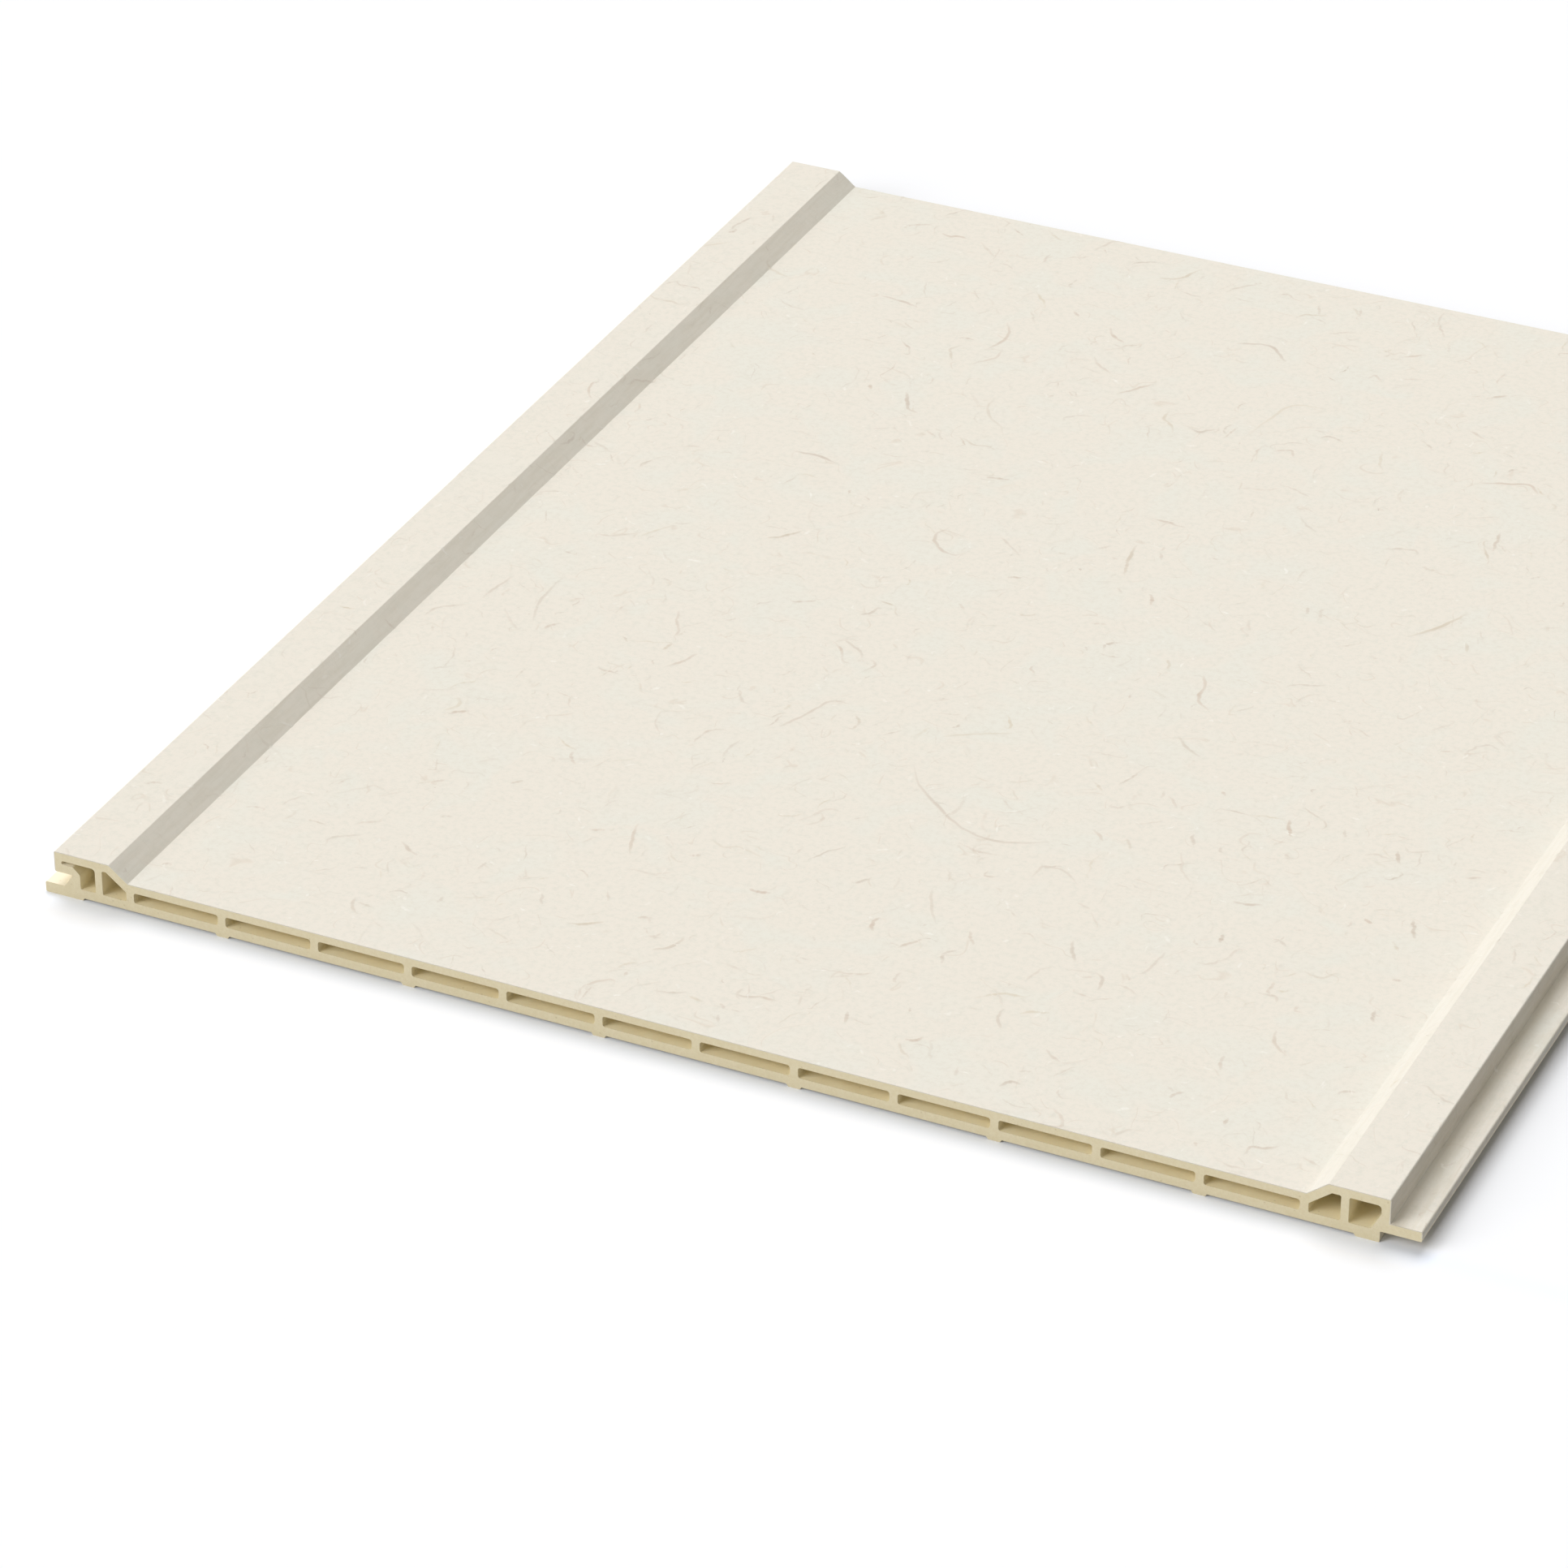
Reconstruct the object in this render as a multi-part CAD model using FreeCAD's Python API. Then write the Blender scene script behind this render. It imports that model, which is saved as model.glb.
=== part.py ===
import FreeCAD, Part
import math
import os

# A hollow wall panel of wood-plastic composite, lying on its back. It is one extruded
# profile, sawn square at both ends: a thin field of flat cells between two raised strips,
# with a groove and a lower lip along the left edge and a tongue along the right edge.
# X runs across the panel, Y along the extrusion and Z up from the floor. The origin is the
# middle of the rectangle that the panel covers on the floor. All sizes are in millimetres.

panel_length = 366.0

# Field: one row of flat cells between the face skin and the back skin
cell_count = 12
cell_pitch = 22.0
cell_height = 2.5
cell_radius = 0.6
web_wall = 1.8
face_wall = 1.9
back_wall = 2.1

# Back: the skin is held off the wall by a low pad under every second web and by two edge feet
pad_height = 0.6
pad_width = 2.6
pad_flank = 0.4
pad_radius = 0.12
pad_every = 2
groove_foot_width = 9.0
tongue_foot_width = 5.0

# Raised strips: their face stands above the field and slopes down to it
strip_rise = 3.5
slope_run = 4.45
slope_setback = 0.4
strip_skin = 2.0
strip_web = 1.7
hollow_radius = 0.4
wide_hollow_radius = 0.85
groove_strip_width = 13.3
slope_wall = 2.05
tongue_strip_width = 13.0

# Groove edge: an upper lip with a slit in it, the groove, and a lower lip that reaches further
groove_depth = 4.1
groove_end_wall = 2.0
groove_end_run = 1.9
groove_end_rise = 2.7
groove_hollow_width = 3.7
groove_hollow_chamfer = 1.65
slit_height = 0.85
slit_radius = 0.4
slit_end_wall = 1.7
lower_lip_reach = 2.5
lower_lip_wall = 2.5

# Tongue edge: the tongue slides into the groove of the next panel
tongue_length = 6.7
tongue_wall = 2.4
tongue_lift = 0.1
groove_play = 0.7
tongue_side_wall = 1.9
tongue_undercut = 2.0
tongue_hollow_width = 6.7
tongue_hollow_chamfer_run = 2.0
tongue_hollow_chamfer_rise = 3.9

# Small rounds that the die leaves on the outside edges and in the inside corners
edge_radius = 0.35
corner_radius = 0.25

# Heights above the floor
cell_floor = pad_height + back_wall
cell_top = cell_floor + cell_height
field_face = cell_top + face_wall
strip_face = field_face + strip_rise
hollow_top = strip_face - strip_skin
slit_floor = hollow_top - slit_height
tongue_underside = lower_lip_wall + tongue_lift
tongue_top = tongue_underside + tongue_wall
groove_roof = tongue_top + groove_play

# Places across the panel, counted from the middle of the first web
last_web = cell_count * cell_pitch
groove_slope_foot = -slope_setback
groove_slope_head = groove_slope_foot - slope_run
groove_side = groove_slope_head - groove_strip_width
groove_end = groove_side + groove_depth
groove_hollow_left = groove_end + groove_end_wall
groove_hollow_right = groove_hollow_left + groove_hollow_width
lower_lip_side = groove_side - lower_lip_reach
tongue_slope_foot = last_web + slope_setback
tongue_slope_head = tongue_slope_foot + slope_run
tongue_side = tongue_slope_head + tongue_strip_width
tongue_tip = tongue_side + tongue_length
tongue_foot_side = tongue_side - tongue_undercut
tongue_hollow_right = tongue_side - tongue_side_wall
tongue_hollow_left = tongue_hollow_right - tongue_hollow_width
middle = (lower_lip_side + tongue_tip) / 2


def rounded_outline(corners):
    """Closed wire across the panel through corners (x, z, radius), each rounded to its radius."""
    places = [FreeCAD.Vector(x - middle, -panel_length / 2, z) for x, z, radius in corners]
    stretches = []
    for index, corner in enumerate(places):
        radius = corners[index][2]
        back = (places[index - 1] - corner).normalize()
        ahead = (places[(index + 1) % len(places)] - corner).normalize()
        half_angle = back.getAngle(ahead) / 2
        reach = radius / math.tan(half_angle)
        to_arc = radius / math.sin(half_angle) - radius
        inward = (back + ahead).normalize()
        stretches.append((corner + back * reach, corner + inward * to_arc, corner + ahead * reach))
    edges = []
    for index, (arc_start, arc_middle, arc_end) in enumerate(stretches):
        edges.append(Part.Arc(arc_start, arc_middle, arc_end).toShape())
        next_start = stretches[(index + 1) % len(stretches)][0]
        edges.append(Part.LineSegment(arc_end, next_start).toShape())
    return Part.Wire(edges)


def pad_corners(left, right):
    """Corners of one pad that stands down from the back skin to the floor."""
    return [
        (left - pad_flank, pad_height, pad_radius),
        (left, 0, pad_radius),
        (right, 0, pad_radius),
        (right + pad_flank, pad_height, pad_radius),
    ]


def underside_corners():
    """From the lower lip to the tongue's foot: two edge feet and the pads between them."""
    foot_end = lower_lip_side + groove_foot_width
    corners = [
        (lower_lip_side, 0, edge_radius),
        (foot_end, 0, pad_radius),
        (foot_end + pad_flank, pad_height, pad_radius),
    ]
    for web in range(1, cell_count, pad_every):
        web_middle = web * cell_pitch
        corners += pad_corners(web_middle - pad_width / 2, web_middle + pad_width / 2)
    foot_start = tongue_foot_side - tongue_foot_width
    corners += [
        (foot_start - pad_flank, pad_height, pad_radius),
        (foot_start, 0, pad_radius),
        (tongue_foot_side, 0, corner_radius),
    ]
    return corners


def tongue_corners():
    """Up the undercut, out along the tongue and back to the raised strip's side."""
    return [
        (tongue_foot_side, tongue_underside, corner_radius),
        (tongue_tip, tongue_underside, edge_radius),
        (tongue_tip, tongue_top, edge_radius),
        (tongue_side, tongue_top, corner_radius),
    ]


def face_corners():
    """Over the tongue's strip, down to the field, and up over the groove's strip."""
    return [
        (tongue_side, strip_face, edge_radius),
        (tongue_slope_head, strip_face, edge_radius),
        (tongue_slope_foot, field_face, corner_radius),
        (groove_slope_foot, field_face, corner_radius),
        (groove_slope_head, strip_face, edge_radius),
        (groove_side, strip_face, edge_radius),
    ]


def groove_corners():
    """Under the upper lip, down the groove's sloping end and out over the lower lip."""
    return [
        (groove_side, groove_roof, edge_radius),
        (groove_end, groove_roof, corner_radius),
        (groove_end, lower_lip_wall + groove_end_rise, corner_radius),
        (groove_end - groove_end_run, lower_lip_wall, corner_radius),
        (lower_lip_side, lower_lip_wall, edge_radius),
    ]


def cell(number):
    """One flat cell of the field, counted from the groove side."""
    left = number * cell_pitch + web_wall / 2
    right = (number + 1) * cell_pitch - web_wall / 2
    return rounded_outline([
        (left, cell_floor, cell_radius),
        (right, cell_floor, cell_radius),
        (right, cell_top, cell_radius),
        (left, cell_top, cell_radius),
    ])


def under_slope(run):
    """Height of a slope's inner face, at a distance from the slope's foot towards its head."""
    wall_upright = slope_wall * math.hypot(slope_run, strip_rise) / slope_run
    return field_face - wall_upright + run * strip_rise / slope_run


def run_under_slope(height):
    """Distance from the slope's foot at which its inner face reaches a height."""
    return (height - under_slope(0)) * slope_run / strip_rise


def groove_strip_slit_hollow():
    """Hollow behind the groove, with the thin slit that runs out into the upper lip."""
    slit_left = groove_side + slit_end_wall
    return rounded_outline([
        (slit_left, slit_floor, slit_radius),
        (groove_hollow_left - groove_hollow_chamfer, slit_floor, wide_hollow_radius),
        (groove_hollow_left, slit_floor - groove_hollow_chamfer, wide_hollow_radius),
        (groove_hollow_left, cell_floor, hollow_radius),
        (groove_hollow_right, cell_floor, hollow_radius),
        (groove_hollow_right, hollow_top, wide_hollow_radius),
        (slit_left, hollow_top, slit_radius),
    ])


def groove_strip_slope_hollow():
    """Hollow under the groove strip's slope, with its long side along the slope."""
    left = groove_hollow_right + strip_web
    right = -web_wall / 2
    return rounded_outline([
        (left, cell_floor, hollow_radius),
        (right, cell_floor, hollow_radius),
        (right, under_slope(groove_slope_foot - right), hollow_radius),
        (groove_slope_foot - run_under_slope(hollow_top), hollow_top, hollow_radius),
        (left, hollow_top, hollow_radius),
    ])


def tongue_strip_slope_hollow():
    """Hollow under the tongue strip's slope, with its long side along the slope."""
    left = last_web + web_wall / 2
    right = tongue_hollow_left - strip_web
    return rounded_outline([
        (left, cell_floor, hollow_radius),
        (right, cell_floor, hollow_radius),
        (right, hollow_top, hollow_radius),
        (tongue_slope_foot + run_under_slope(hollow_top), hollow_top, hollow_radius),
        (left, under_slope(left - tongue_slope_foot), hollow_radius),
    ])


def tongue_strip_side_hollow():
    """Hollow beside the tongue, cut away below so that the tongue's root keeps its wall."""
    right = tongue_hollow_right
    return rounded_outline([
        (tongue_hollow_left, cell_floor, hollow_radius),
        (right - tongue_hollow_chamfer_run, cell_floor, wide_hollow_radius),
        (right, cell_floor + tongue_hollow_chamfer_rise, wide_hollow_radius),
        (right, hollow_top, wide_hollow_radius),
        (tongue_hollow_left, hollow_top, hollow_radius),
    ])


def panel():
    """The whole section, outline and hollows, drawn out to the panel's length."""
    outline = rounded_outline(
        underside_corners() + tongue_corners() + face_corners() + groove_corners()
    )
    hollows = [cell(number) for number in range(cell_count)]
    hollows += [
        groove_strip_slit_hollow(),
        groove_strip_slope_hollow(),
        tongue_strip_slope_hollow(),
        tongue_strip_side_hollow(),
    ]
    section = Part.Face([outline] + hollows)
    return section.extrude(FreeCAD.Vector(0, panel_length, 0))


os.makedirs("parts", exist_ok=True)
panel().exportStep("parts/panel.step")
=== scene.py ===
import math

import bpy
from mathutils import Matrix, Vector


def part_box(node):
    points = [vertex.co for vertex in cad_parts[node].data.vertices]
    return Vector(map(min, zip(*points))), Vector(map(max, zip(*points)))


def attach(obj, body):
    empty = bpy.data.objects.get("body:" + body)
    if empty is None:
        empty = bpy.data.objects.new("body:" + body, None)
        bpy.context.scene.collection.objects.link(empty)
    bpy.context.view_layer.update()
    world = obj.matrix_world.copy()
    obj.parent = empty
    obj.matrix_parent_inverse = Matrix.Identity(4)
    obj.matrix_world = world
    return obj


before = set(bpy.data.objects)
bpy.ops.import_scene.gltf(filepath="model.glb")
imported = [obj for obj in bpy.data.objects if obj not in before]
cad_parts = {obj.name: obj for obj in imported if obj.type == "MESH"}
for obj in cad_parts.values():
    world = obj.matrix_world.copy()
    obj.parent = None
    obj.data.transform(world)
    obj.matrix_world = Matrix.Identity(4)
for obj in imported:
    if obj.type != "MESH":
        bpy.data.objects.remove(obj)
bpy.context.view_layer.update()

# The wall panel: one piece of hollow wood-plastic, pushed through a die and sawn square at
# both ends. Its front is wrapped in a printed plastic film that runs from the upper lip's
# side over the whole face to the tip of the tongue; everything else is bare wood-plastic.
mm = 0.001
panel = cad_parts["panel"]
panel_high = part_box("panel")[1]
sawn_end = panel_high.y
tongue_tip = panel_high.x
strip_face = panel_high.z

strip_rise = 3.5 * mm
slope_run = 4.45 * mm
field_width = 264.8 * mm
groove_strip_width = 13.3 * mm
tongue_strip_width = 13.0 * mm
tongue_length = 6.7 * mm
tongue_top = 5.0 * mm
tongue_underside = 2.6 * mm
groove_roof = 5.7 * mm
groove_depth = 4.1 * mm

field_face = strip_face - strip_rise
tongue_side = tongue_tip - tongue_length
tongue_slope_head = tongue_side - tongue_strip_width
tongue_slope_foot = tongue_slope_head - slope_run
groove_slope_foot = tongue_slope_foot - field_width
groove_slope_head = groove_slope_foot - slope_run
groove_side = groove_slope_head - groove_strip_width

# The film goes round the tongue's tip and ends a little above its underside.
film_thickness = 0.18 * mm
film_end = tongue_underside + 0.8 * mm
clearance = 0.1 * mm
saw_blur = 0.03 * mm
fine_relief = 0.03 * mm


def paint(red, green, blue):
    """A colour as it looks on the panel, in steps of 0 to 255, made linear for a shader."""
    steps = [channel / 255 for channel in (red, green, blue)]
    linear = [c / 12.92 if c <= 0.04045 else ((c + 0.055) / 1.055) ** 2.4 for c in steps]
    return (*linear, 1.0)


class Bench:
    """Lays out the nodes of one tree: a plain value sets a socket, another socket is linked."""

    def __init__(self, tree):
        self.tree = tree

    def wire(self, value, socket):
        if isinstance(value, bpy.types.NodeSocket):
            self.tree.links.new(value, socket)
        else:
            socket.default_value = value

    def feed(self, made, name, value):
        self.wire(value, next(s for s in made.inputs if s.enabled and s.name == name))

    def node(self, kind, settings=None, **inputs):
        """A node with its settings, then its inputs by name, with _ for a space."""
        made = self.tree.nodes.new(kind)
        for name, value in (settings or {}).items():
            setattr(made, name, value)
        for name, value in inputs.items():
            self.feed(made, name.replace("_", " "), value)
        return made

    def first_output(self, made):
        """The first output that a node has with its settings."""
        return next(output for output in made.outputs if output.enabled)

    def out(self, kind, settings=None, **inputs):
        """The first output of a new node."""
        return self.first_output(self.node(kind, settings, **inputs))

    def math(self, operation, *values, clamp=False):
        made = self.node("ShaderNodeMath", {"operation": operation, "use_clamp": clamp})
        for value, socket in zip(values, made.inputs):
            self.wire(value, socket)
        return made.outputs[0]

    def plus(self, first, *others):
        for other in others:
            first = self.math("ADD", first, other)
        return first

    def minus(self, first, second):
        return self.math("SUBTRACT", first, second)

    def times(self, first, *others):
        for other in others:
            first = self.math("MULTIPLY", first, other)
        return first

    def size_of(self, value):
        return self.math("ABSOLUTE", value)

    def above(self, value, limit):
        return self.math("GREATER_THAN", value, limit)

    def below(self, value, limit):
        return self.math("LESS_THAN", value, limit)

    def vector_math(self, operation, first, second):
        made = self.node("ShaderNodeVectorMath", {"operation": operation}, Vector=first)
        self.wire(second, made.inputs[1])
        return self.first_output(made)

    def ramp(self, value, start, end, low=0.0, high=1.0, smooth=False):
        kind = "SMOOTHSTEP" if smooth else "LINEAR"
        return self.out("ShaderNodeMapRange", {"interpolation_type": kind}, Value=value,
                        From_Min=start, From_Max=end, To_Min=low, To_Max=high)

    def noise(self, place, scale, detail=2.0, roughness=0.5, distortion=0.0):
        made = self.node("ShaderNodeTexNoise", Vector=place, Scale=scale, Detail=detail,
                         Roughness=roughness, Distortion=distortion)
        return made.outputs["Fac"]

    def stretch(self, place, x, y, z):
        return self.out("ShaderNodeMapping", Vector=place, Scale=(x, y, z))

    def mix(self, share, first, second, kind="RGBA"):
        return self.out("ShaderNodeMix", {"data_type": kind}, Factor=share, A=first, B=second)

    def bump(self, height, rise):
        return self.out("ShaderNodeBump", Height=height, Distance=rise, Strength=1.0)


def printed_film(bench, place):
    """Colour, roughness and relief of the film's print, without its long fibres, with painted light on the
    slopes and the side's foot and painted shade at the crease.
    """
    across, _, up = bench.node("ShaderNodeSeparateXYZ", Vector=place).outputs
    patch_scale = 75

    # A pale pulp ground with cooler patches, fewer of them on the strips
    cool = bench.noise(place, patch_scale, detail=3, distortion=0.6)
    field_share = bench.ramp(up, field_face, strip_face, 0.9, 0.3)
    cool = bench.times(bench.ramp(cool, 0.44, 0.70, smooth=True), field_share)
    colour = bench.mix(cool, paint(233, 226, 213), paint(230, 227, 215))
    pulp = bench.noise(place, scale=700, detail=5, roughness=0.7)
    colour = bench.mix(bench.ramp(pulp, 0.34, 0.54), paint(226, 221, 208), colour)

    # Hair-thin broken veins in the pulp
    veins = bench.noise(place, patch_scale, detail=1, distortion=0.8)
    broken = bench.noise(place, scale=160, detail=1)
    hair = bench.ramp(bench.size_of(bench.minus(veins, 0.5)), 0.0, 0.012, 1.0, 0.0, smooth=True)
    hair = bench.times(hair, bench.ramp(broken, 0.53, 0.64, smooth=True))
    colour = bench.mix(bench.times(hair, 0.25), colour, paint(205, 186, 164))
    roughness = bench.ramp(pulp, 0.3, 0.7, 0.62, 0.52)
    height = bench.plus(bench.times(pulp, 0.5), bench.times(hair, -0.25))
    relief = bench.bump(height, fine_relief)

    # The slopes' print with painted light and shade: the groove strip's slope is painted paler, as painted
    # light, and the tongue strip's is painted cooler and darker, as painted shade
    past_strip = bench.above(across, tongue_side - 2 * clearance)
    bent = past_strip
    for left, right, share, slope_light_and_shade in (
        (groove_slope_head, groove_slope_foot, 0.46, paint(246, 240, 226)),
        (tongue_slope_foot, tongue_slope_head, 0.5, paint(228, 224, 214)),
    ):
        on_slope = bench.times(bench.above(across, left), bench.below(across, right))
        bent = bench.plus(bent, bench.times(on_slope, 0.6))
        colour = bench.mix(bench.times(on_slope, share), colour, slope_light_and_shade)

    # Painted light: the strip's side is painted paler towards its foot, above the tongue
    side_foot_height = 3.2 * mm
    on_side = bench.times(past_strip, bench.above(up, tongue_top + clearance))
    side_foot_light = bench.ramp(up, tongue_top, tongue_top + side_foot_height, 1.0, 0.0)
    colour = bench.mix(bench.times(on_side, side_foot_light), colour, paint(254, 249, 237))

    # Drag marks along the panel, where the film was drawn over the slopes, side and tongue
    drag = bench.noise(bench.stretch(place, 900, 90, 900), scale=1, detail=3, roughness=0.6)
    drag = bench.times(bench.ramp(drag, 0.42, 0.64), bench.times(bent, 0.26))
    colour = bench.mix(drag, colour, paint(209, 198, 173))

    # Painted shade: the print is painted darker towards the crease where the tongue leaves the strip's side
    crease_shade_width = 5.5 * mm
    crease_shade_root = 0.9 * mm
    crease_shade = bench.ramp(across, tongue_side, tongue_side + crease_shade_width, 0.62, 0, smooth=True)
    crease_shade = bench.times(crease_shade, bench.below(up, tongue_top + clearance))
    crease_shade = bench.times(crease_shade, bench.above(across, tongue_side))
    crease_shade = bench.times(crease_shade, bench.ramp(across, tongue_side, tongue_side + crease_shade_root, 0.3, 1.0))
    colour = bench.mix(crease_shade, colour, paint(190, 182, 163))
    return colour, roughness, relief


def bare_stock(bench, place, end_share, open_light_share):
    """Colour, roughness and relief of wood-plastic, drawn smooth by the die or sawn across, painted paler
    in the open as painted light.
    """
    flour = bench.noise(place, scale=1500, detail=4, roughness=0.7)
    clump = bench.noise(place, scale=260, detail=3, roughness=0.6)
    clumped = bench.ramp(clump, 0.35, 0.65)
    skin = bench.mix(clumped, paint(248, 235, 197), paint(252, 241, 206))
    # Painted light: the skin in the open is painted paler than the same skin in the hollows
    skin = bench.mix(open_light_share, skin, paint(250, 241, 217))
    sawn_face = bench.mix(clumped, paint(243, 232, 198), paint(246, 235, 204))
    sawn_face = bench.mix(bench.ramp(flour, 0.30, 0.70), paint(237, 224, 188), sawn_face)
    colour = bench.mix(end_share, skin, sawn_face)

    # Bran: a dark speck in the few cells of the pattern that are chosen for one
    bran = bench.node("ShaderNodeTexVoronoi", {"feature": "F1"}, Vector=place, Scale=1100.0).outputs
    chosen = bench.out("ShaderNodeSeparateColor", Color=bran["Color"])
    speck = bench.ramp(bran["Distance"], 0.12, 0.34, 1, 0, smooth=True)
    speck = bench.times(speck, bench.ramp(chosen, 0.94, 0.96))
    colour = bench.mix(bench.times(speck, 0.3), colour, paint(190, 170, 124))

    # Saw marks on the ends, and fine lines from the die along everything else
    saw = bench.noise(bench.stretch(place, 2600, 1, 90), scale=1)
    die = bench.noise(bench.stretch(place, 2200, 12, 2200), scale=1)
    roughness = bench.ramp(end_share, 0.0, 1.0, 0.48, 0.78)
    sawn = bench.plus(bench.times(saw, 0.6), flour)
    height = bench.plus(bench.times(sawn, end_share), bench.times(die, bench.minus(1.0, end_share)))
    return colour, roughness, bench.bump(height, fine_relief)


def finish_surface(bench, colour, roughness, relief):
    """Ends a material in a matt plastic surface."""
    shader = bench.out("ShaderNodeBsdfPrincipled", Base_Color=colour, Roughness=roughness, Normal=relief,
                       IOR=1.45, Specular_IOR_Level=0.22)
    bench.node("ShaderNodeOutputMaterial", Surface=shader)


def new_material(name):
    """An empty material and the bench for its nodes."""
    material = bpy.data.materials.new(name)
    material.use_nodes = True
    material.node_tree.nodes.clear()
    return material, Bench(material.node_tree)


# How deep a point lies under the film's outer surface. Where the film doesn't reach, the
# depth has 1 metre added.
panel_finish, bench = new_material("film_and_wood_plastic")
place = bench.node("ShaderNodeTexCoord").outputs["Object"]
across, along, up = bench.node("ShaderNodeSeparateXYZ", Vector=place).outputs
groove_slope = bench.ramp(across, groove_slope_head, groove_slope_foot, strip_rise, 0)
tongue_slope = bench.ramp(across, tongue_slope_foot, tongue_slope_head, 0, strip_rise)
under_face = bench.minus(bench.plus(groove_slope, tongue_slope, field_face), up)
on_tongue = bench.above(across, tongue_side + clearance)
under_film = bench.ramp(on_tongue, 0, 1, under_face, bench.minus(tongue_top, up))
from_tongue_side = bench.plus(bench.size_of(bench.minus(across, tongue_side)),
                              bench.below(up, tongue_top - film_thickness))
from_groove_side = bench.plus(bench.minus(across, groove_side), bench.below(up, groove_roof),
                              bench.below(across, groove_side - clearance))
from_tip = bench.plus(bench.minus(tongue_tip, across), bench.below(up, film_end))
depth = under_film
for other_depth in (from_tongue_side, from_groove_side, from_tip):
    depth = bench.math("MINIMUM", depth, other_depth)
film_share = bench.below(depth, film_thickness)

# Bare stock in the open, on the lips, the back and the tongue's edge, is painted paler and less yellow than
# in the hollows, as painted light, and the sawn ends have a finish of their own.
groove_end = groove_side + groove_depth
strip_side_skin = 1 * mm
open_light_share = bench.below(across, groove_end + 3 * clearance)
for in_the_open in (
    bench.below(up, tongue_underside + 0.5 * clearance),
    bench.above(across, tongue_side - strip_side_skin),
):
    open_light_share = bench.math("MAXIMUM", open_light_share, in_the_open)
end_share = bench.ramp(bench.size_of(along), sawn_end - 2 * saw_blur, sawn_end - saw_blur)

film_colour, film_roughness, film_relief = printed_film(bench, place)
stock_colour, stock_roughness, stock_relief = bare_stock(bench, place, end_share, open_light_share)
finish_surface(bench,
               bench.mix(film_share, stock_colour, film_colour),
               bench.ramp(film_share, 0, 1, stock_roughness, film_roughness),
               bench.mix(film_share, stock_relief, film_relief, kind="VECTOR"))
for slot in panel.material_slots:
    slot.material = panel_finish

# The fibres: the print's loose brown fibres, lightly embossed in the film. They are drawn on
# the flat film and follow it as it is wrapped over the strips, the slopes and the field.
face_edge_round = 0.35 * mm
face_corner_round = 0.25 * mm
film_line_corners = [
    (groove_side, groove_roof, 0),
    (groove_side, strip_face, face_edge_round),
    (groove_slope_head, strip_face, face_edge_round),
    (groove_slope_foot, field_face, face_corner_round),
    (tongue_slope_foot, field_face, face_corner_round),
    (tongue_slope_head, strip_face, face_edge_round),
    (tongue_side, strip_face, face_edge_round),
    (tongue_side, tongue_top, face_corner_round),
    (tongue_tip, tongue_top, face_edge_round),
    (tongue_tip, film_end, 0),
]
line_mesh = bpy.data.meshes.new("film_line")
line_mesh.from_pydata([(x, 0, z) for x, z, _ in film_line_corners],
                      [(k, k + 1) for k in range(len(film_line_corners) - 1)], [])
roundings = [rounding for _, _, rounding in film_line_corners]
line_mesh.attributes.new("rounding", "FLOAT", "POINT").data.foreach_set("value", roundings)
film_line = bpy.data.objects.new("film_line", line_mesh)
bpy.context.scene.collection.objects.link(film_line)
film_width = sum(math.dist(a[:2], b[:2]) for a, b in zip(film_line_corners, film_line_corners[1:]))

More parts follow.
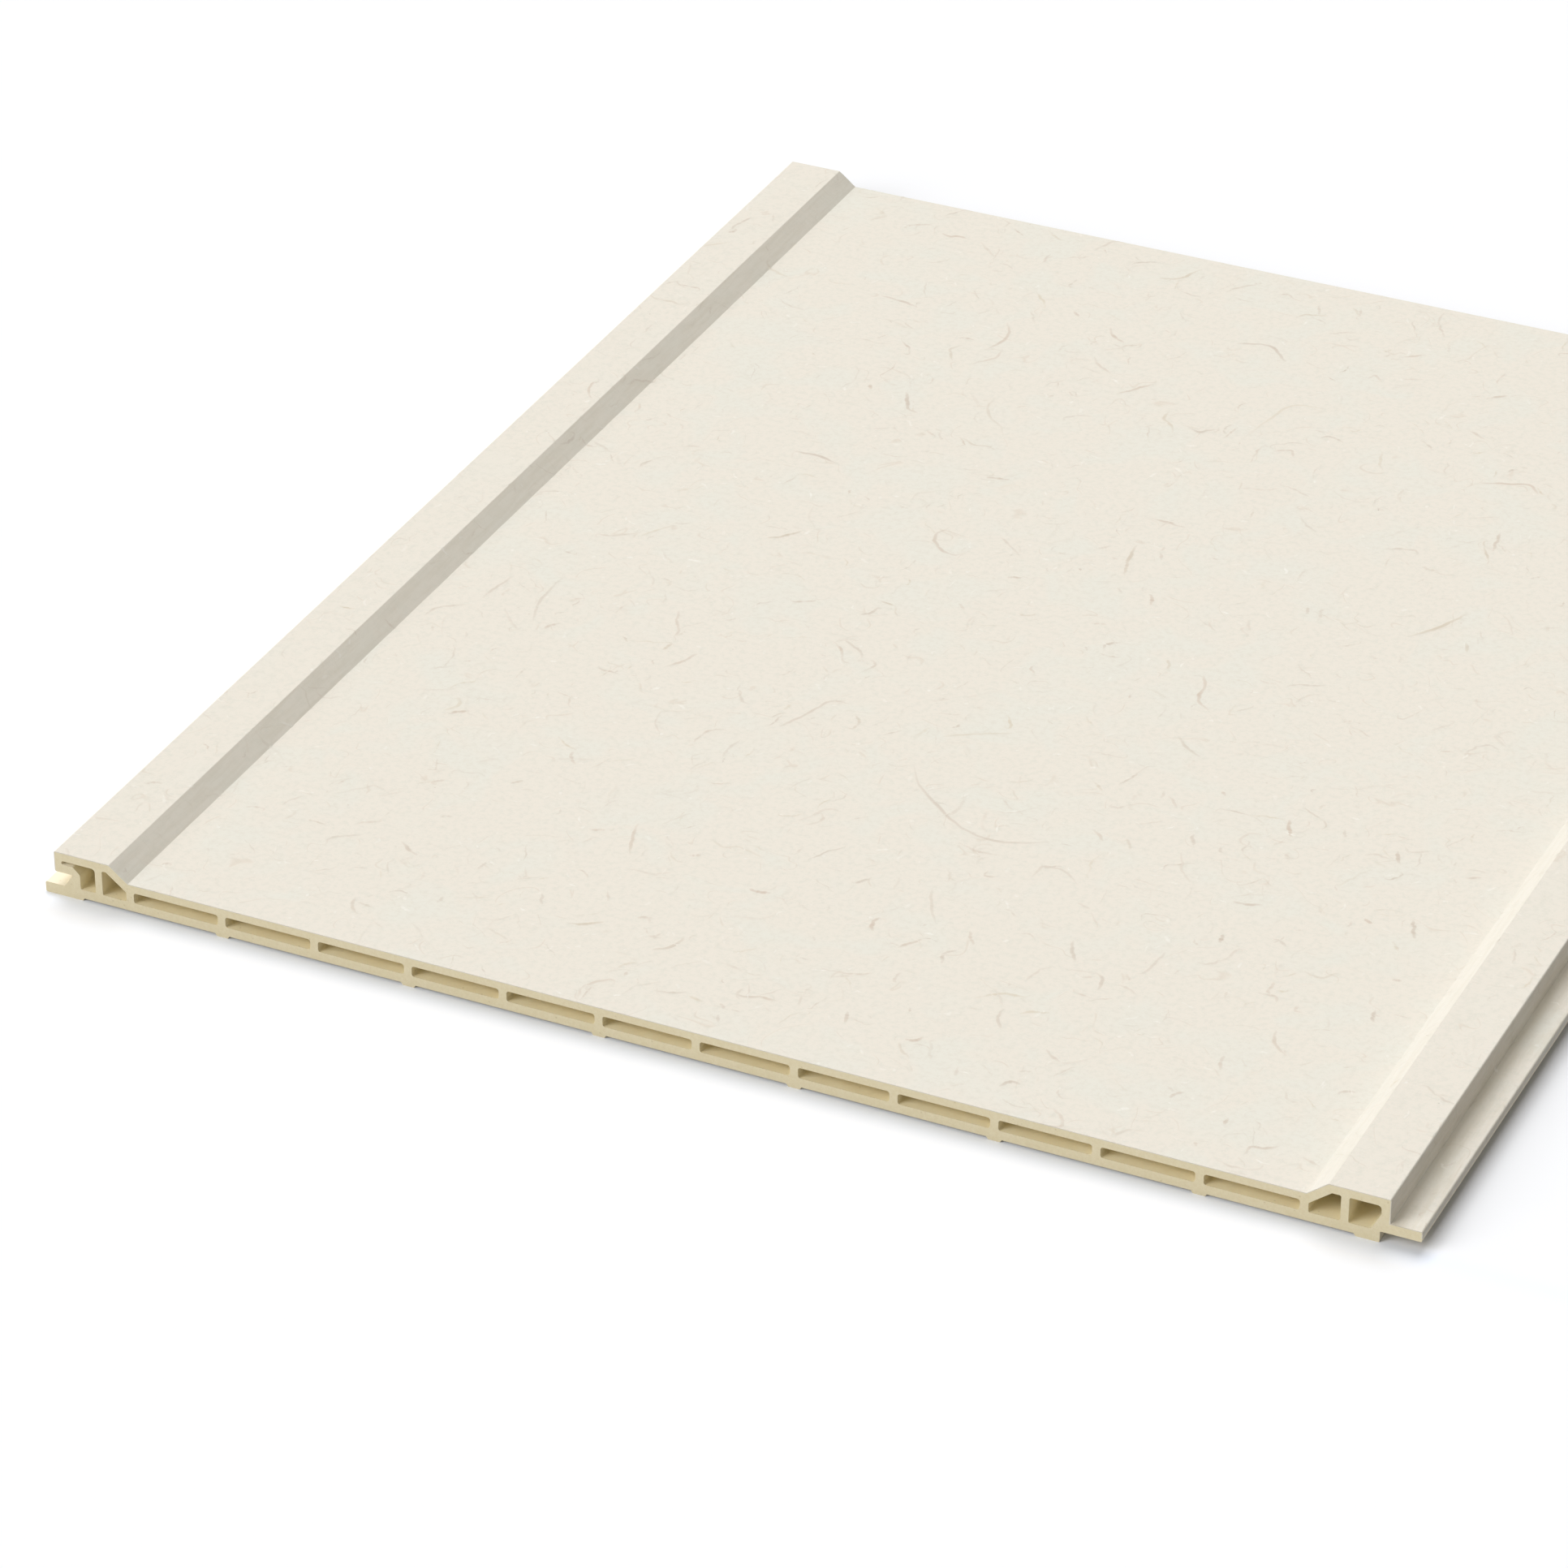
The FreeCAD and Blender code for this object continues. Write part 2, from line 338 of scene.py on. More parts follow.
# The fibres that catch the eye: how dark each is, then the places that it runs through, in
# millimetres across the field from the groove strip's slope and along it from the near end.
marked_fibres = (
    (0.9, (45, 232), (51, 232.5), (57.5, 230.5)),
    (1.0, (57.5, 191.5), (61, 194.5), (63.5, 198)),
    (1.0, (91.5, 239.5), (97, 241)),
    (0.7, (93.5, 214), (92, 209), (95.5, 204), (99.5, 202.5), (101.5, 204.5)),
    (0.6, (93, 157), (98.5, 153.5), (100, 151)),
    (0.5, (81.5, 127), (83.5, 123.5), (86, 122.5)),
    (0.7, (96, 116), (99, 123.5), (101.5, 131), (106, 132)),
    (0.4, (90.5, 99.5), (90, 104), (91, 108)),
    (0.6, (130, 128), (136.5, 132), (143.5, 135.5)),
    (0.7, (129, 115), (134, 107), (143.5, 99), (150.5, 94.5), (159.5, 93.5), (169.5, 98.5)),
    (0.5, (170.5, 83), (171, 88), (175.5, 88.5), (180.5, 84.5)),
    (0.5, (153, 70.5), (156, 64), (159.5, 58)),
    (0.9, (156, 46.5), (159.5, 51.5)),
    (0.5, (204.5, 58.5), (206, 60), (207, 68.5)),
    (0.6, (176.5, 150), (180, 146), (184, 143.5)),
    (0.4, (195, 106), (198, 99.5), (201.5, 95.5)),
    (0.9, (119, 327), (127, 329.5), (133.5, 323)),
    (0.4, (138.5, 282), (140.5, 293.5), (143.5, 303.5), (152.5, 304.5)),
    (0.6, (158, 337.5), (163, 341)),
    (0.7, (147.5, 280), (151, 282), (152.5, 279)),
    (1.0, (196.5, 286), (203, 288.5), (207.5, 290), (211, 286.5)),
    (0.7, (183.5, 326), (188, 330)),
    (0.5, (185.5, 309.5), (190.5, 306.5)),
    (0.9, (209, 265.5), (210.5, 256.5)),
    (0.8, (206, 211.5), (211, 218), (215, 227)),
    (0.6, (187, 247), (193.5, 249.5), (195.5, 247.5)),
    (0.6, (11, 139), (12, 145.5), (13, 151)),
    (0.6, (3, 126.5), (4.5, 131.5), (9.5, 135)),
    (0.5, (26.5, 134), (24.5, 140), (23.5, 145.5), (23.5, 155.5)),
    (0.5, (31, 180), (33.5, 185), (36, 188)),
    (0.8, (54, 153), (55.5, 148.5), (58, 144.5), (58, 141.5)),
    (0.8, (58.5, 135.5), (59, 139)),
    (0.7, (62, 129.5), (64.5, 132.5), (66, 137.5)),
    (0.9, (28, 90.5), (29.5, 92), (32, 93.5)),
    (0.6, (60, 88), (60.5, 86), (63, 83.5)),
    (0.7, (53.5, 70.5), (56, 72.5)),
    (0.8, (86, 67.5), (87, 63), (90, 55)),
    (0.4, (102.5, 68.5), (106.5, 66.5), (109.5, 68), (116, 66)),
    (0.3, (21.5, 50.5), (25.5, 54.5), (28, 57), (31.5, 56)),
    (0.5, (30, 31), (29.5, 34), (32, 36.5), (35, 38)),
    (0.7, (44, 39.5), (47, 37), (49.5, 36)),
    (0.6, (45.5, 16), (46.5, 12.5), (49, 10.5)),
    (0.5, (47, 14.5), (50.5, 14)),
    (0.8, (30.5, 351.5), (33, 350.5), (34.5, 351.5), (38, 351)),
    (0.6, (59.5, 352.5), (59.5, 349.5), (59.5, 347)),
    (0.8, (89, 351.5), (93.5, 353.5), (95.5, 358), (96.5, 360.5)),
    (0.7, (30.5, 314), (34, 313.5), (37.5, 313), (41.5, 311.5)),
    (0.8, (65, 297.5), (66, 300), (67, 302.5), (67.5, 305.5), (67, 309), (64.5, 314)),
    (0.5, (65.5, 290), (67.5, 293), (69.5, 296), (69, 300.5)),
    (0.7, (60.5, 289.5), (58, 294.5), (58.5, 297), (59.5, 298.5)),
    (0.9, (57, 270.5), (59.5, 266), (61, 263), (64, 261.5)),
    (0.8, (47.5, 270), (49, 268)),
    (0.5, (69.5, 255), (73, 252.5)),
    (0.7, (79, 255), (82.5, 253), (86, 253.5), (89, 252.5)),
    (0.4, (77.5, 277), (78, 271.5), (80.5, 267), (84.5, 264), (86.5, 260.5)),
    (0.7, (77, 326), (79, 324)),
    (0.8, (88.5, 322), (90, 319), (92.5, 317), (94.5, 316)),
    (0.5, (91, 306.5), (92.5, 303.5), (96, 301), (98, 299.5)),
    (0.8, (103, 290.5), (106, 295), (109.5, 299.5)),
    (0.7, (117.5, 288), (118, 284), (121, 281.5), (122.5, 278)),
    (0.7, (125, 282.5), (128, 281.5), (129.5, 283), (131.5, 284.5)),
    (0.5, (106.5, 351.5), (109, 355.5), (113, 359.5)),
    (0.7, (127, 346), (128.5, 348.5), (130.5, 349), (134, 350.5)),
    (0.5, (130, 354.5), (132, 350)),
    (0.5, (138, 357), (141, 353.5)),
    (0.5, (140, 357.5), (141, 353)),
    (0.6, (159, 364.5), (159.5, 359.5), (162, 354.5), (164, 351.5)),
    (0.5, (154.5, 323.5), (155.5, 326), (158, 323.5)),
    (0.5, (170.5, 291), (172, 285.5), (174, 282)),
    (0.7, (134, 238), (138, 237.5), (143, 237)),
    (0.4, (164, 253.5), (167.5, 250), (170.5, 248)),
    (0.9, (135.5, 225), (136.5, 218), (138.5, 210)),
    (0.9, (147, 205), (148.5, 203), (149, 200.5)),
    (0.5, (142, 223.5), (143.5, 220.5)),
    (0.5, (141.5, 224.5), (142, 226.5)),
    (0.8, (147, 177.5), (147, 180), (149.5, 182)),
    (0.7, (162, 179.5), (163.5, 175.5)),
    (0.8, (171.5, 176.5), (173.5, 173), (174, 168.5), (175, 165.5), (178.5, 162.5)),
    (0.6, (190, 179.5), (192, 181.5), (198, 183.5)),
    (0.8, (128, 208.5), (128.5, 209)),
    (0.6, (123.5, 184.5), (125.5, 184), (127.5, 186)),
    (0.6, (181.5, 214.5), (182.5, 211.5)),
    (0.5, (106, 215), (109.5, 212), (113.5, 208.5)),
    (0.5, (109.5, 182.5), (112, 180.5)),
    (0.4, (76, 17), (79, 16), (82, 15)),
    (1.0, (90, 25.5), (93.5, 27), (97, 29.5)),
    (0.7, (188, 64.5), (189, 61), (191.5, 57)),
    (0.7, (196.5, 55), (198.5, 54), (200, 49)),
    (0.4, (202.5, 52.5), (205, 52.5), (207.5, 51)),
    (0.4, (188, 53.5), (186, 51), (185, 46)),
    (0.6, (167, 58.5), (168.5, 56), (170, 54)),
    (0.7, (185, 35), (185.5, 31), (187.5, 28)),
    (0.3, (180, 41), (183, 38), (184.5, 35.5)),
    (0.6, (199, 25), (200.5, 23), (203.5, 21.5)),
    (0.8, (157, 20.5), (158, 16)),
    (0.9, (171.5, 16), (173.5, 16.5), (175, 18)),
    (0.6, (171, 14.5), (172.5, 12), (175, 10)),
    (0.9, (195.5, 8.5), (197, 11), (199, 11)),
    (0.4, (185.5, 11.5), (186, 8)),
    (0.7, (228, 19), (228.5, 21), (230, 22.5)),
    (0.4, (226, 23), (228, 21.5)),
    (0.8, (241, 17.5), (241.5, 15)),
    (0.8, (248.5, 7), (249, 10), (252, 11), (254, 13)),
    (0.7, (238, 51), (239.5, 47), (241.5, 44.5), (244, 43)),
    (0.6, (231.5, 67.5), (231.5, 64), (232.5, 62.5)),
    (0.5, (229.5, 62.5), (231, 62.5), (233.5, 62.5), (234.5, 60.5)),
    (0.9, (254, 66.5), (254, 64), (255, 62)),
    (0.7, (258, 34.5), (258.5, 36), (261, 37)),
    (0.5, (239, 61.5), (239, 59.5), (240.5, 59)),
    (0.5, (223, 2), (224, 4.5), (226, 6)),
    (0.6, (232, 38), (232.5, 35.5), (233.5, 32.5)),
    (0.5, (259.5, 11), (262, 10), (264, 9.5)),
    (0.5, (160.5, 38), (160.5, 35), (161.5, 34)),
    (0.5, (238, 7), (239, 5.5)),
    (0.4, (224, 60), (224.5, 57)),
    (1.0, (211, 128), (212, 125), (214, 121.5)),
    (0.9, (236.5, 126), (237.5, 123), (238.5, 121)),
    (0.5, (223, 129), (224.5, 126)),
    (0.6, (253, 122), (255, 122.5), (256, 123.5)),
    (0.4, (230.5, 121.5), (232.5, 122.5), (236, 122)),
    (0.4, (208, 119.5), (206, 119.5), (204.5, 117), (205.5, 114.5), (208.5, 114)),
    (0.6, (194.5, 114), (195, 112.5), (196.5, 109)),
    (0.6, (202, 111.5), (202, 110), (203, 109)),
    (0.6, (182.5, 106), (184, 104), (185, 102)),
    (0.5, (175, 106.5), (176.5, 105), (178.5, 103)),
    (0.8, (212, 92.5), (215, 92.5), (216.5, 93), (218.5, 94)),
    (1.0, (215, 80), (215.5, 76.5)),
    (0.9, (239.5, 98), (241.5, 96.5)),
    (1.0, (248.5, 102), (250, 99), (251.5, 95)),
    (0.5, (225, 82.5), (227, 82), (229, 81)),
    (0.5, (235, 74), (237.5, 73), (240, 73.5), (242, 76.5)),
    (0.6, (252.5, 79), (253.5, 78.5), (255, 79)),
    (0.4, (183, 78), (184.5, 77.5), (186.5, 77)),
    (0.6, (167, 124.5), (168.5, 123.5), (170.5, 121.5)),
    (0.5, (184, 126), (185.5, 124.5), (187.5, 122)),
    (0.4, (182.5, 127.5), (183, 124)),
    (0.6, (193.5, 132.5), (195, 131)),
    (0.4, (229.5, 97.5), (230.5, 96)),
    (1.0, (118.5, 54), (120, 53.5), (121.5, 53.5), (123.5, 54.5)),
    (0.9, (148, 55.5), (147.5, 53.5), (148, 51.5), (149, 50)),
    (0.5, (92, 40.5), (94, 37)),
    (0.6, (80, 34), (82, 30)),
    (0.5, (64, 40), (63.5, 36.5)),
    (0.5, (62, 24), (62, 21)),
    (0.7, (110.5, 24), (113, 26), (114.5, 28.5), (114.5, 31.5)),
    (0.5, (107.5, 28.5), (109, 29), (109.5, 30.5)),
    (0.4, (125.5, 31), (127, 31), (130, 34)),
    (0.8, (133, 16.5), (136, 16.5), (139, 17.5), (142.5, 17.5)),
    (0.4, (135, 15), (133.5, 17), (134, 19.5)),
    (0.6, (117.5, 10.5), (121, 11), (124, 13)),
    (0.7, (125, 11.5), (128.5, 11)),
    (0.5, (107.5, 15), (108, 17), (110, 18.5)),
    (0.6, (109.5, 14.5), (110, 13)),
    (0.6, (132, 12), (133.5, 10.5)),
    (0.5, (133.5, 8), (134.5, 5.5)),
    (0.4, (148.5, 30.5), (150.5, 32), (152.5, 33)),
    (0.4, (104.5, 35), (105.5, 33)),
)
film_to_field = strip_face - groove_roof + groove_strip_width + math.hypot(slope_run, strip_rise)
marked_places, marked_runs, marked_strengths = [], [], []
for strength, *stops in marked_fibres:
    marked_runs += [(len(marked_places) + k, len(marked_places) + k + 1) for k in range(len(stops) - 1)]
    marked_places += [(film_to_field + across * mm, along * mm - sawn_end, 0) for across, along in stops]
    marked_strengths += [strength] * len(stops)
marked_mesh = bpy.data.meshes.new("marked_fibres")
marked_mesh.from_pydata(marked_places, marked_runs, [])
marked_mesh.attributes.new("darkness", "FLOAT", "POINT").data.foreach_set("value", marked_strengths)

# The ink: the film's own print, dyed by each fibre's tone. Tones go from two browns through
# a dull ochre to the pale fibres, and the dye fades towards a ribbon's sides.
fibre_finish, bench = new_material("printed_fibres")
place = bench.node("ShaderNodeTexCoord").outputs["Object"]
colour, roughness, relief = printed_film(bench, place)
strength, tone, side = [bench.node("ShaderNodeAttribute", {"attribute_name": name}).outputs["Fac"]
                        for name in ("strength", "tone", "across")]
dye = bench.mix(bench.ramp(tone, 0.0, 0.5), paint(207, 189, 171), paint(202, 188, 172))
dye = bench.mix(bench.ramp(tone, 0.55, 0.7), dye, paint(211, 198, 174))
dye = bench.mix(bench.ramp(tone, 0.78, 0.82), dye, paint(252, 249, 242))
soft_side = bench.ramp(bench.size_of(side), 0.3, 1.0, 1.0, 0.0, smooth=True)
colour = bench.mix(bench.times(strength, soft_side), colour, dye)
finish_surface(bench, colour, roughness, relief)

# The tree that draws the fibres on the flat film and wraps them round the panel.
tree = bpy.data.node_groups.new("fibres", "GeometryNodeTree")
tree.interface.new_socket("Geometry", in_out="OUTPUT", socket_type="NodeSocketGeometry")
tree.interface.new_socket("Marked fibres", in_out="INPUT", socket_type="NodeSocketGeometry")
named_inputs = []
for name, kind, value in (
    ("Film line", "NodeSocketObject", film_line),
    ("Film width", "NodeSocketFloat", film_width),
    ("Panel length", "NodeSocketFloat", 2 * sawn_end),
    ("Fibre count", "NodeSocketInt", 440),
    ("Hair count", "NodeSocketInt", 1500),
    ("Speck count", "NodeSocketInt", 170),
    ("Pale count", "NodeSocketInt", 1200),
    ("Ridge height", "NodeSocketFloat", 0.03 * mm),
    ("Seed", "NodeSocketInt", 7),
    ("Material", "NodeSocketMaterial", fibre_finish),
):
    socket = tree.interface.new_socket(name, in_out="INPUT", socket_type=kind)
    named_inputs.append((socket.identifier, value))
bench = Bench(tree)
given = bench.node("NodeGroupInput").outputs


def random_number(low, high, owner, seed, power=1.0):
    """One number for each fibre, nearer the low end when the power is above 1."""
    drawn = bench.out("FunctionNodeRandomValue", {"data_type": "FLOAT"}, Min=0.0, Max=1.0, ID=owner,
                      Seed=bench.plus(given["Seed"], seed))
    return bench.ramp(bench.math("POWER", drawn, power), 0, 1, low, high)


def wobble(share, owner, seed, waves, spread):
    """A smooth noise from 0 to 1 along each fibre, with a row of the noise for each one."""
    place = bench.out("ShaderNodeCombineXYZ", X=bench.times(share, waves),
                      Y=bench.times(bench.plus(owner, seed), spread))
    return bench.noise(place, scale=1.0)


def store_number(geometry, name, value):
    return bench.out("GeometryNodeStoreNamedAttribute", {"data_type": "FLOAT", "domain": "POINT"},
                     Geometry=geometry, Name=name, Value=value)


def stored_number(name):
    return bench.out("GeometryNodeInputNamedAttribute", {"data_type": "FLOAT"}, Name=name)


def inked(curves, owner, share, darkness, width, palest_ink, tones, seed):
    """Gives strokes their ink: it thins towards both ends and is patchy along the way."""
    fade = bench.math("POWER", bench.math("SINE", bench.times(share, math.pi)), 0.6)
    patch = wobble(share, owner, seed, waves=4.0, spread=7.31)
    patch = bench.ramp(patch, 0.35, 0.62, palest_ink, 1.0)
    strength = bench.times(darkness, bench.times(fade, patch))
    width = bench.times(width, bench.ramp(fade, 0, 1, 0.35, 1.0))
    width = bench.times(width, bench.ramp(patch, palest_ink, 1, 0.7, 1.15))
    tone = random_number(*tones, owner, seed + 12)
    for name, value in (("strength", strength), ("tone", tone), ("width", width)):
        curves = store_number(curves, name, value)
    return curves


def strokes(count, points_each, lengths, widths, strengths, bend, hook, kink, tones, seed):
    """A family of loose strokes on the flat film: each starts anywhere and wanders off."""
    line = bench.out("GeometryNodeCurvePrimitiveLine", End=(1.0, 0.0, 0.0))
    line = bench.out("GeometryNodeResampleCurve", Curve=line, Count=points_each)
    copies = bench.out("GeometryNodeDuplicateElements", {"domain": "SPLINE"}, Geometry=line, Amount=count)
    owner = bench.out("GeometryNodeCurveOfPoint")
    share = bench.node("GeometryNodeSplineParameter").outputs["Factor"]

    # Its heading, turned along the way by a bend, a hook near the end, a knee and two wobbles
    heading = random_number(0, 2 * math.pi, owner, seed + 2)
    bending = bench.times(random_number(-bend, bend, owner, seed + 3), share)
    hooking = bench.times(random_number(-hook, hook, owner, seed + 4),
                          bench.ramp(share, 0.72, 0.95, smooth=True))
    past_knee = bench.above(share, random_number(0.25, 0.75, owner, seed + 5))
    kinked = bench.above(random_number(0, 1, owner, seed + 6), 0.65)
    knee = bench.times(past_knee, kinked, random_number(-kink, kink, owner, seed + 7))
    wander = wobble(share, owner, seed, waves=2.5, spread=3.17)
    wander = bench.times(bench.minus(wander, 0.5), 1.6)
    ragged = wobble(share, owner, seed, waves=9.0, spread=5.71)
    ragged = bench.times(bench.minus(ragged, 0.5), 2.4)
    angle = bench.plus(heading, bending, hooking, knee, wander, ragged)

    # Equal steps along that heading, added up from a start anywhere on the film
    length = random_number(*lengths, owner, seed + 1, power=1.6)
    step = bench.math("DIVIDE", length, points_each - 1)
    stride = bench.out("ShaderNodeCombineXYZ", X=bench.times(bench.math("COSINE", angle), step),
                       Y=bench.times(bench.math("SINE", angle), step))
    walked = bench.node("GeometryNodeAccumulateField", {"data_type": "FLOAT_VECTOR"}, Value=stride)
    bench.wire(owner, walked.inputs["Group Index"])
    start_across = bench.times(random_number(0, 1, owner, seed + 8), given["Film width"])
    start_along = bench.times(random_number(-0.52, 0.52, owner, seed + 9), given["Panel length"])
    start = bench.out("ShaderNodeCombineXYZ", X=start_across, Y=start_along)
    spot = bench.vector_math("ADD", start, walked.outputs["Trailing"])

    darkness = random_number(*strengths, owner, seed + 10, power=1.8)
    width = random_number(*widths, owner, seed + 11, power=1.4)
    made = inked(copies, owner, share, darkness, width, palest_ink=0.25, tones=tones, seed=seed)
    return bench.out("GeometryNodeSetPosition", Geometry=made, Position=spot)


# The marked fibres: a smooth curve through each one's stops, made ragged by a fine noise.
raggedness = (1.1 * mm, 1.1 * mm, 0)
marked = bench.out("GeometryNodeMeshToCurve", Mesh=given["Marked fibres"])
marked = bench.out("GeometryNodeCurveSplineType", {"spline_type": "CATMULL_ROM"}, Curve=marked)
marked = bench.out("GeometryNodeResampleCurve", Curve=marked, Count=24)
spot = bench.out("GeometryNodeInputPosition")
shift = bench.node("ShaderNodeTexNoise", Vector=spot, Scale=450.0, Detail=1.0).outputs["Color"]
shift = bench.vector_math("SUBTRACT", shift, (0.5, 0.5, 0.5))
shift = bench.vector_math("MULTIPLY", shift, raggedness)
marked = bench.out("GeometryNodeSetPosition", Geometry=marked, Offset=shift)
owner = bench.out("GeometryNodeCurveOfPoint")
share = bench.node("GeometryNodeSplineParameter").outputs["Factor"]
darkness = stored_number("darkness")
width = bench.ramp(darkness, 0.4, 1.0, 1.0 * mm, 1.4 * mm)
marked = inked(marked, owner, share, bench.times(darkness, 0.92), width, palest_ink=0.55,
               tones=(0, 0.7), seed=400)

brown = (0, 0.8)
pale = (0.9, 1)
families = bench.node("GeometryNodeJoinGeometry")
for family in (
    strokes(given["Fibre count"], points_each=24, lengths=(3 * mm, 14 * mm), widths=(0.6 * mm, 1.3 * mm),
            strengths=(0.12, 0.75), bend=1.8, hook=2.4, kink=1.3, tones=brown, seed=100),
    strokes(given["Hair count"], points_each=14, lengths=(2 * mm, 8 * mm), widths=(0.4 * mm, 0.8 * mm),
            strengths=(0.15, 0.55), bend=1.4, hook=1.5, kink=1.2, tones=brown, seed=200),
    strokes(given["Speck count"], points_each=6, lengths=(0.4 * mm, 0.9 * mm), widths=(0.35 * mm, 0.7 * mm),
            strengths=(0.2, 0.7), bend=1.0, hook=0.2, kink=0.2, tones=brown, seed=300),
    strokes(given["Pale count"], points_each=10, lengths=(1 * mm, 4 * mm), widths=(0.5 * mm, 1.2 * mm),
            strengths=(0.2, 0.5), bend=1.4, hook=1.5, kink=1.2, tones=pale, seed=500),
    marked,
):
    bench.wire(family, families.inputs[0])

# Each stroke becomes a ribbon two faces wide, trimmed to the film's own outline.
section_line = bench.out("GeometryNodeCurvePrimitiveLine", Start=(-0.5, 0, 0), End=(0.5, 0, 0))
section_line = bench.out("GeometryNodeResampleCurve", Curve=section_line, Count=3)
side = bench.node("GeometryNodeSplineParameter").outputs["Factor"]
section_line = store_number(section_line, "across", bench.ramp(side, 0, 1, -1, 1))
flat = bench.out("GeometryNodeSetCurveNormal", {"mode": "Z_UP"}, Curve=families.outputs[0])
ribbons = bench.out("GeometryNodeCurveToMesh", Curve=flat, Profile_Curve=section_line,
                    Scale=stored_number("width"))
overrun = 0.5 * mm
spot = bench.out("GeometryNodeInputPosition")
unrolled, lengthwise, _ = bench.node("ShaderNodeSeparateXYZ", Vector=spot).outputs
half_length = bench.times(given["Panel length"], 0.5)
sawn_off = bench.above(bench.size_of(lengthwise), bench.plus(half_length, overrun))
off_film = bench.plus(bench.below(unrolled, 0.0), bench.above(unrolled, given["Film width"]))
ribbons = bench.out("GeometryNodeDeleteGeometry", {"domain": "POINT"}, Geometry=ribbons,
                    Selection=bench.plus(sawn_off, off_film))

# The film's line, with its corners rounded, carries the ribbons over strips and slopes. Each
# stands out of the film by the ridge height in its middle and by a third of it at its sides.
film_object = bench.node("GeometryNodeObjectInfo", Object=given["Film line"]).outputs["Geometry"]
wrap = bench.out("GeometryNodeMeshToCurve", Mesh=film_object)
wrap = bench.out("GeometryNodeFilletCurve", {"mode": "POLY"}, Curve=wrap, Count=6,
                 Radius=stored_number("rounding"), Limit_Radius=True)
wrapped = bench.node("GeometryNodeSampleCurve", {"mode": "LENGTH", "use_all_curves": True},
                     Curves=wrap, Length=unrolled).outputs
outward = bench.vector_math("CROSS_PRODUCT", wrapped["Tangent"], (0, 1, 0))
rise = bench.ramp(bench.size_of(stored_number("across")), 0, 1, 1, 0.35)
lift = bench.out("ShaderNodeVectorMath", {"operation": "SCALE"}, Vector=outward,
                 Scale=bench.times(rise, given["Ridge height"]))
trimmed = bench.math("MAXIMUM", lengthwise, bench.times(half_length, -1))
trimmed = bench.math("MINIMUM", trimmed, half_length)
lengthways = bench.out("ShaderNodeCombineXYZ", Y=trimmed)
on_face = bench.vector_math("ADD", wrapped["Position"], lift)
spot = bench.vector_math("ADD", on_face, lengthways)
ribbons = bench.out("GeometryNodeSetPosition", Geometry=ribbons, Position=spot)
ribbons = bench.out("GeometryNodeSetShadeSmooth", Geometry=ribbons)
ribbons = bench.out("GeometryNodeRealizeInstances", Geometry=ribbons)
ribbons = bench.out("GeometryNodeSetMaterial", Geometry=ribbons, Material=given["Material"])
bench.node("NodeGroupOutput", Geometry=ribbons)

fibre_print = bpy.data.objects.new("fibre_print", marked_mesh)
bpy.context.scene.collection.objects.link(fibre_print)
growth = fibre_print.modifiers.new("fibres", "NODES")
growth.node_group = tree
for identifier, value in named_inputs:
    growth[identifier] = value
bpy.context.view_layer.update()
grown = fibre_print.evaluated_get(bpy.context.evaluated_depsgraph_get())
ribbon_mesh = bpy.data.meshes.new_from_object(grown)
ribbon_mesh.name = "fibre_print"
fibre_print.modifiers.remove(growth)
fibre_print.data = ribbon_mesh
bpy.data.objects.remove(film_line)
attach(fibre_print, "root")

# The studio: a plain white floor, a soft sky that leans to the front left, one soft main sun
# from behind left and a weaker fill from the front left. The floor and the sky show white to
# the camera and in gloss, and the light on the panel is not raised by it.
grey_floor = (0.5, 0.5, 0.5, 1)
white_floor = (0.967, 0.970, 0.985, 1)
cooler_floor = (0.948, 0.989, 1.08, 1)
floor_reach = 4.0
floor_mesh = bpy.data.meshes.new("floor")
floor_corners = [(x * floor_reach, y * floor_reach, 0) for x, y in ((-1, -1), (1, -1), (1, 1), (-1, 1))]
floor_mesh.from_pydata(floor_corners, [], [(0, 1, 2, 3)])
floor = bpy.data.objects.new("floor", floor_mesh)
bpy.context.scene.collection.objects.link(floor)


def looked_at(bench):
    """1 for what the camera sees, straight, in gloss or through glass, and 0 for light on things."""
    path = bench.node("ShaderNodeLightPath").outputs
    looked = bench.math("ADD", path["Is Camera Ray"], path["Is Glossy Ray"], clamp=True)
    return bench.math("ADD", looked, path["Is Transmission Ray"], clamp=True)


# Light off the yellow stock warms the floor close in front of the near end more than it does
# in the photograph, so the floor is shown a little cooler there.
floor_finish, bench = new_material("floor_white")
place = bench.node("ShaderNodeTexCoord").outputs["Object"]
along = bench.node("ShaderNodeSeparateXYZ", Vector=place).outputs["Y"]
glow_start = -3 * mm
glow_full = 0.5 * mm
glow_fades = 1.5 * mm
glow_end = 6 * mm
in_front = bench.minus(-sawn_end, along)
close_in_front = bench.times(bench.ramp(in_front, glow_start, glow_full),
                             bench.ramp(in_front, glow_fades, glow_end, 1, 0))
shown_floor = bench.mix(close_in_front, white_floor, cooler_floor)
shader = bench.out("ShaderNodeBsdfDiffuse", Color=bench.mix(looked_at(bench), grey_floor, shown_floor))
bench.node("ShaderNodeOutputMaterial", Surface=shader)
floor_mesh.materials.append(floor_finish)

